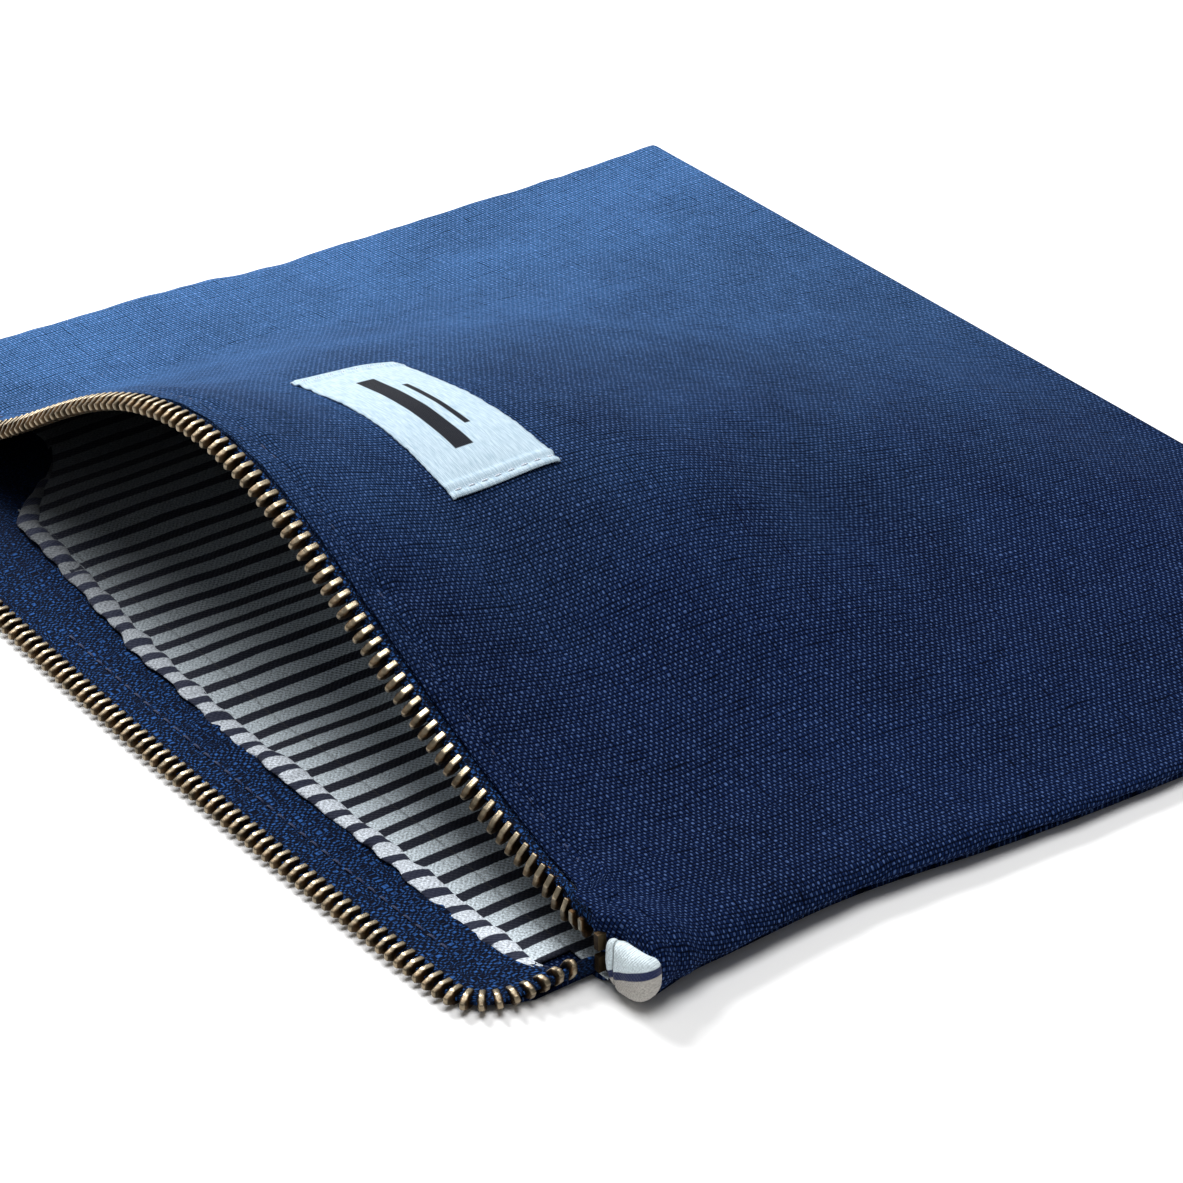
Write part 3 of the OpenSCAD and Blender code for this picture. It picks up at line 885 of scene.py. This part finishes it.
def lining_hem():
    """The lining's front edge, rolled under in a soft tube whose stripes have slipped half a stripe."""
    x = np.linspace(-84, 99, 450)
    edge = lining_edge_y(x)
    turn = np.linspace(math.radians(200), math.radians(-20), 14)[:, None]
    ends = smooth((x + 84) / 14) * smooth((100 - x) / 12)
    puff = 0.75 + 0.35 * ripple(x, 0 * x, 3.4, 11.5) + 0.18 * ripple(x, 0 * x, 1.3, 12.5)
    width = HEM_ROLL / 2 * (1 + 0.25 * ripple(x, 0 * x, 4, 13.5)) * mix(0.25, 1, ends)
    across = np.cos(turn) * width
    lying = lower_lining_z(x, edge + HEM_ROLL / 2)
    y = edge + across + 0.6
    z = lying - 0.15 + 0.85 * mix(0.2, 1, ends) * puff * np.maximum(np.sin(turn), -0.2)
    points = stacked(x, y, z)
    along = running(points, 0)
    slip = 0.5 * STRIPE + 0.32 * (HEM_ROLL - along)
    uv = stacked(points[..., 0] + slip, along)
    return cloth_piece("lining_hem", points, uv, LINING_CLOTH_T, hem_look, ["lower_lining"])


hem = lining_hem()
draw_in_with_zip(hem)


def upper_lining():
    """The upper lining hangs just under the canvas, from over the tape's edge to the bottom seam."""
    shares = np.linspace(0, 1, 90)
    rows = []
    for v in shares:
        y0 = mix(ZIP_Y + 10, Y_BACK - 6, v)
        w = half_w(y0) - side_r(y0) - LINING_MARGIN
        x = drawn(stacked(np.linspace(-w, w, 161), y0))[:, 0]
        y = np.maximum(y0, lip_y(x) + 8)
        depth = 2.0 + 0.5 * ripple(x, y * 0.3, 15, 8.5)
        z = np.maximum(heights_on(canvas_drop, x, y) - depth, CANVAS_T + 2 * LINING_T + 2 * GAP)
        rows.append(stacked(x, y, z))
    points = np.array(rows)
    return cloth_piece("upper_lining_cloth", points, points[..., :2], LINING_CLOTH_T, lining_look,
                       ["upper_lining"])


hung = upper_lining()
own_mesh(hung)


# ---- zip tapes and teeth ----
def lower_tape():
    """The tape runs back from the row in one smooth band, to just under the lining's hem."""
    share = np.linspace(0, 1, 22)[:, None]
    x, row_y, row_z = fine_lower.T
    back = mix(-0.2, TAPE_W + tape_extra(x), share)
    lying = CANVAS_T + GAP + TAPE_T + 0.15
    height = mix(row_z + TAPE_T / 2, lying, smooth(share * 1.6))
    crepe = 0.1 * ripple(np.broadcast_to(x, back.shape), back, 5, 14.5)
    points = stacked(x, row_y + back, np.maximum(height, lying) + crepe)
    uv = stacked(running(fine_lower, 0), back)
    return cloth_piece("lower_tape", points, uv, TAPE_T, tape_look, ["lower_zip_tape"])


def upper_tape():
    """The tape goes back from its teeth and slips under the canvas, whose edge covers it."""
    roll = upper_roll(fine_upper)
    _, pointing, normal = row_frames(path_tangents(fine_upper), roll, -1)
    width = mix(LIP_GAP + 1.4, TAPE_W, clamp01(1 - np.degrees(roll) / 35))[:, None]
    share = np.linspace(0, 1, 17)[:, None, None]
    back = mix(TOOTH_LEN / 2 - 1, width[None], share)
    crimp = 0.1 * ripple(fine_upper[:, 0], 0 * fine_upper[:, 0], 6, 14.5)[None, :, None] * share
    points = fine_upper[None] - back * pointing[None] + (TAPE_T / 2 + crimp) * normal[None]
    x, y = points[..., 0], points[..., 1]
    behind_lip = y - lip_y(x)
    cover = canvas_z(x, np.maximum(y, lip_y(x))) - mix(0.6, CANVAS_T + 0.25, smooth(behind_lip / 1.2))
    points[..., 2] = np.minimum(points[..., 2], cover)
    uv = stacked(running(fine_upper, 0), back[..., 0])
    return cloth_piece("upper_tape", points, uv, TAPE_T, tape_look, ["upper_zip_tape"])


low_tape = lower_tape()
draw_in_with_zip(low_tape)
high_tape = upper_tape()
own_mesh(high_tape)

tape_stitch_x = np.arange(-28, 89, STITCH_PITCH)
tape_line = lower_row(tape_stitch_x) + [0, 6.5, TAPE_T / 2 + 0.1]
tape_spots = [(a, mix(a, b, STITCH_SHARE), UP) for a, b in zip(tape_line[:-1], tape_line[1:])]
tape_stitches = stitch_row("lower_topstitch_thread", tape_spots, TOPSTITCH_R, navy_thread_look,
                           ["lower_topstitch"])
draw_in_with_zip(tape_stitches)


def tooth_shape():
    """One tooth: legs that clamp the tape, a rounded head with a nib, softened on every edge."""
    long, high = TOOTH_LEN / 2, TOOTH_H / 2
    outline = [(-long, -high), (-long, -0.45), (-long + 1, -0.45), (-long + 1, 0.45), (-long, 0.45),
               (-long, high), (0.2, high), (0.95, 0.88), (long, 0.55), (long, -0.55), (0.95, -0.88),
               (0.2, -high)]
    build = bmesh.new()
    half = 0.92 * TOOTH_W / 2
    ends = [[build.verts.new((p, side * half * (1 if p < 1 else 0.8), q)) for p, q in outline]
            for side in (-1, 1)]
    n = len(outline)
    build.faces.new(ends[0])
    build.faces.new(reversed(ends[1]))
    for i in range(n):
        j = (i + 1) % n
        build.faces.new((ends[0][j], ends[0][i], ends[1][i], ends[1][j]))
    bmesh.ops.recalc_face_normals(build, faces=build.faces)
    bmesh.ops.bevel(build, geom=build.edges[:], offset=0.3, segments=3, profile=0.5, affect="EDGES")
    build.normal_update()
    points = np.array([v.co for v in build.verts])
    normals = np.array([v.normal for v in build.verts])
    faces = [tuple(v.index for v in f.verts) for f in build.faces]
    build.free()
    # Pale flat faces, partly abrasion and partly painted light, and a painted highlight on the nose.
    wear_and_highlight = smooth((np.abs(normals[:, 2]) - 0.7) / 0.3) * smooth((np.abs(points[:, 2]) - 0.6) / 0.5)
    wear_and_highlight = np.maximum(wear_and_highlight, 0.45 * smooth((points[:, 0] - 1.4) / 0.4) * smooth(normals[:, 0] / 0.6))
    return points, faces, wear_and_highlight


def closed_place(k, phase, upper):
    """Where a tooth's centre comes to lie once the zip is closed."""
    x = -ZIP_HALF + (k + 0.5 + phase) * 2 * ZIP_HALF / (TOOTH_COUNT + 1)
    rest = 1.4 if upper else -1.4
    return np.array([x, ZIP_Y, ZIP_Z + rest])


def tooth_row(prefix, path, roll_of, up, phase, node):
    """The teeth of one row, each a piece of its own, evenly spaced along the row."""
    length = running(path, 0)
    tangents = path_tangents(path)
    at = (np.arange(TOOTH_COUNT) + 0.5 + phase) * length[-1] / (TOOTH_COUNT + 1)
    place = np.stack([np.interp(at, length, path[:, i]) for i in range(3)], -1)
    tangent = np.stack([np.interp(at, length, tangents[:, i]) for i in range(3)], -1)
    along, pointing, face = row_frames(tangent, roll_of(place), up)
    shape, faces, wear_and_highlight = tooth_shape()
    for k in range(TOOTH_COUNT):
        lean = 0.05 * noise.noise(Vector((k * 0.7, up, 0.5)))
        axis = unit(along[k] + lean * face[k])
        third = np.cross(pointing[k], axis)
        points = place[k] + shape @ np.stack([pointing[k], axis, third])
        name = f"{prefix}_{k:02d}"
        tooth = mesh_piece(name, points, faces, tooth_look, [node])
        # Each point's pale share: partly abrasion, partly painted light and highlight.
        worn_and_lit = tooth.data.attributes.new("wear_and_highlight", "FLOAT", "POINT")
        worn_and_lit.data.foreach_set("value", wear_and_highlight.astype(np.float32))
        rolled = np.degrees(roll_of(place[[k]]))[0] > ROLLED_DEGREES
        if not rolled:
            carry_with_zip(tooth, place[k], closed_place(k, phase, up < 0))


tooth_row("tooth_upper", upper_path(PATH_STEPS), upper_roll, -1, 0, "upper_zip_teeth")
tooth_row("tooth_lower", lower_path(PATH_STEPS, 11), lower_roll, 1, 0.5, "lower_zip_teeth")


# ---- end tabs ----
TAB_L = 10.5
TAB_T = 3.6
TAB_H = 8.8
TAB_Z = 0.95
STRIPE_RISE = 0.45      # how steeply the tab's one stripe climbs along it
STRIPE_AT = 2.3         # height of the stripe at the tab's inner end
TAB_CREASE = 2.1        # hem line, out from the tab's inner end


def end_tab(name, side, node):
    """Folded loop of lining cloth over the zip's end: a small pillow with a hem line and one stripe."""
    turn = np.linspace(0, 2 * math.pi, 72, endpoint=False)
    height = np.linspace(0, 1, 37)
    along = np.sign(np.cos(turn)) * np.abs(np.cos(turn)) ** 0.75
    thick = np.sign(np.sin(turn)) * np.abs(np.sin(turn)) ** 0.8
    rows = []
    for h in height:
        full = max(1 - abs(2 * h - 1) ** 3.2, 0.0) ** 0.42
        x = TAB_L / 2 + (TAB_L / 2) * along * mix(0.62, 1, full)
        groove = 1 - 0.42 * hump(x - TAB_CREASE, 0.45)
        bulge = mix(0.82, 1.25, smooth(x / TAB_L * 1.3)) * groove
        y = TAB_T / 2 * thick * full * bulge
        foot = 2.4 * np.maximum(1 - x / 3, 0) ** 2 + 3.4 * np.maximum((x - 6) / 4.5, 0) ** 2
        z = TAB_Z + mix(foot, TAB_H, h)
        dent = 0.12 * ripple(x, np.full(len(x), h * 9), 2.6, 21.5 + side)
        rows.append(stacked(x, y * (1 + dent), z))
    points = np.array(rows)
    uv = stacked(points[..., 2] - TAB_Z - STRIPE_RISE * points[..., 0], points[..., 0])
    yaw = math.radians(10)
    turned = points.copy()
    across = points[..., 0] * math.cos(yaw) - points[..., 1] * math.sin(yaw)
    turned[..., 0] = side * (ZIP_HALF + 1.7 + across)
    turned[..., 1] = ZIP_Y - 0.1 + points[..., 0] * math.sin(yaw) + points[..., 1] * math.cos(yaw)
    faces = grid_faces(len(height), len(turn), wrap=True)
    faces.append(tuple(reversed(range(len(turn)))))
    last = (len(height) - 1) * len(turn)
    faces.append(tuple(last + i for i in range(len(turn))))
    if side < 0:
        faces = [tuple(reversed(f)) for f in faces]
    piece = mesh_piece(name, turned.reshape(-1, 3), faces, tab_look, [node])
    lay_uv(piece, uv)
    return piece


def tab_finish(name):
    """Pale lining cloth with the single navy stripe that falls on the tab, with painted shadow that greys
    it below the stripe and painted shade along the hem line's groove.
    """
    look = cloth_look(name, 0.8, 0.1, 0.25, 0.5)
    place, u, v = look.cloth_mm()
    wave = plain_weave(look, u, v, 0.34, 0.3, 0.5)
    speck = look.noise(place, 2.6, 3.0, 0.7)
    salt = look.step(speck, 0.3, 0.7, 0.8, 1.1)
    # Painted shadow: the cloth below the stripe is greyer.
    above = look.step(u, STRIPE_AT - 0.7, STRIPE_AT + 0.7)
    white = look.blend(above, rgb(176, 172, 166), rgb(216, 230, 236))
    thread = look.dim(white, salt)
    # Painted shade along the hem line's groove.
    crease_shade = look.step(look.away(v, TAB_CREASE), 0.08, 0.3, 0.5, 1.0)
    thread = look.dim(thread, crease_shade)
    off = look.away(u, STRIPE_AT)
    colour = look.blend(look.step(off, 0.85, 0.6), thread, rgb(30, 40, 78))
    return look.done(colour, look.plus(wave, speck), 0.06)


tab_look = tab_finish("tab_look")
right_tab = end_tab("end_tab_right_cloth", 1, "end_tab_right")
left_tab = end_tab("end_tab_left_cloth", -1, "end_tab_left")


# ---- label ----
LABEL_FOLD = 3.6        # short ends turned under
LABEL_STITCH = 1.5      # stitches in from the short ends


def label_cloth():
    """The woven label, doubled at its short ends and drawn down along its stitches."""
    x = np.linspace(-LABEL_W / 2, LABEL_W / 2, 141)
    y = np.linspace(LABEL_Y - LABEL_D / 2, LABEL_Y + LABEL_D / 2, 61)
    xs, ys = np.meshgrid(x, y)
    ys = ys + 0.16 * ripple(xs, ys, 1.1, 17.5) * smooth((np.abs(ys - LABEL_Y) - LABEL_D / 2 + 1.2) / 1.2)
    from_end = LABEL_W / 2 - np.abs(xs)
    from_side = LABEL_D / 2 - np.abs(ys - LABEL_Y)
    doubled = 0.28 * smooth((LABEL_FOLD - from_end) / 0.7)
    pulled_down = -0.32 * hump(from_end - LABEL_STITCH, 0.55)
    edge = -0.25 * (1 - smooth(from_side / 0.8)) - 0.3 * (1 - smooth(from_end / 0.5))
    crown = 0.3 * smooth(from_side / 4) * smooth((from_end - 2) / 6)
    wavy = 0.14 * ripple(xs, ys, 9, 16.5)
    lift = 0.62 + doubled + pulled_down + edge + crown + wavy
    points = stacked(xs, ys, heights_on(canvas_drop, xs, ys) + lift)
    uv = stacked(xs, ys - LABEL_Y)
    piece = cloth_piece("label_cloth", points, uv, LINING_CLOTH_T, label_look, ["label"])
    return points, piece


label_points, label_piece = label_cloth()
lower_with_zip(label_piece)
label_drop = surface_of(label_points)
label_spots = []
for end in (-1, 1):
    for y in np.arange(LABEL_Y - LABEL_D / 2 + 1, LABEL_Y + LABEL_D / 2 - 1.6, 2.6):
        x = end * (LABEL_W / 2 - LABEL_STITCH)
        start, lift = label_drop(x, y)
        label_spots.append((start, label_drop(x, y + 1.6)[0], lift))
label_stitches = stitch_row("label_stitching_thread", label_spots, 0.17, white_thread_look,
                            ["label_stitching"])
lower_with_zip(label_stitches)


# ---- seam threads ----
SEAM_Z = CANVAS_T + 0.3
SEAM_IN = 1.6
for side, word in ((-1, "left"), (1, "right")):
    seam_spots = []
    for y in np.arange(ZIP_Y + 8, Y_BACK - 5, SEAM_PITCH):
        ends = [drawn(np.array([side * (foot_x(t) - SEAM_IN), t, SEAM_Z])) for t in (y, y + SEAM_STITCH)]
        seam_spots.append((*ends, UP))
    stitch_row(f"{word}_seam_stitches", seam_spots, SEAM_STITCH_R, navy_thread_look,
               [f"{word}_seam_thread"])
bottom_spots = []
for x in np.arange(-114, 112, SEAM_PITCH):
    ends = [np.array([t, Y_BACK - SEAM_IN, SEAM_Z]) for t in (x, x + SEAM_STITCH)]
    bottom_spots.append((*ends, UP))
stitch_row("bottom_seam_stitches", bottom_spots, SEAM_STITCH_R, navy_thread_look,
           ["bottom_seam_thread"])


# ---- metal parts that keep their CAD shape ----
def dress(node, finish, bevel):
    """A CAD node with its own finish and softened edges."""
    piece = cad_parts[node]
    piece.data.materials.clear()
    piece.data.materials.append(finish)
    soft = piece.modifiers.new("soft_edges", "BEVEL")
    soft.width = bevel * MM
    soft.segments = 3
    soft.limit_method = "ANGLE"
    soft.angle_limit = math.radians(40)


for node in ("slider_body", "pull_tab"):
    dress(node, brass_look, 0.2)
for node in ("bottom_stop", "top_stops"):
    dress(node, dull_brass_look, 0.3)
dress("slider_bridge", brass_look, 0.15)
dress("lock_spring", steel_look, 0.05)


# ---- stage, light and camera ----
def make_floor():
    mesh = bpy.data.meshes.new("floor")
    reach_m = 3.0
    below_m = -0.0002
    corners = [(x * reach_m, y * reach_m, below_m) for x, y in ((-1, -1), (1, -1), (1, 1), (-1, 1))]
    mesh.from_pydata(corners, [], [(0, 1, 2, 3)])
    finish = Finish("floor_look", Roughness=0.9, Specular_IOR_Level=0.1)
    grain = finish.noise(finish.place_mm(), 0.01, 3.0)
    finish.set(Base_Color=finish.blend(grain, (0.9, 0.9, 0.9, 1), (0.94, 0.94, 0.94, 1)))
    mesh.materials.append(finish.material)
    add_object("floor", mesh)


def make_light(name, place, aim, size, watts):
    data = bpy.data.lights.new(name, "AREA")
    data.shape = "DISK"
    data.size = size
    data.energy = watts
    light = add_object(name, data)
    light.location = place
    light.rotation_mode = "QUATERNION"
    light.rotation_quaternion = (Vector(aim) - Vector(place)).to_track_quat("-Z", "Y")


def make_camera():
    azimuth, elevation, roll = (math.radians(a) for a in (55.0, 30.9, -1.5))
    target = Vector((0.0118, -0.0102, 0.0))
    distance = 0.7839
    back = Vector((math.sin(azimuth) * math.cos(elevation),
                   -math.cos(azimuth) * math.cos(elevation),
                   math.sin(elevation)))
    level = Vector((math.cos(azimuth), math.sin(azimuth), 0))
    above = back.cross(level)
    right = level * math.cos(roll) + above * math.sin(roll)
    up = above * math.cos(roll) - level * math.sin(roll)
    data = bpy.data.cameras.new("camera")
    data.lens = 139.83
    data.clip_start = 0.01
    camera = add_object("camera", data)
    turn = Matrix((right, up, back)).transposed().to_4x4()
    camera.matrix_world = Matrix.Translation(target + back * distance) @ turn
    bpy.context.scene.camera = camera


make_floor()
make_light("key", (-0.6, 0.0, 0.6), (-0.03, 0.0, 0.0), 0.35, 8.5)
make_light("top", (0.2, -0.1, 1.3), (0.0, 0.0, 0.0), 0.9, 13.0)
world = bpy.data.worlds.new("studio")
world.use_nodes = True
sky = world.node_tree.nodes["Background"]
sky.inputs["Color"].default_value = (1, 1, 1, 1)
sky.inputs["Strength"].default_value = 0.2
bpy.context.scene.world = world
bpy.context.scene.view_settings.view_transform = "Standard"
make_camera()
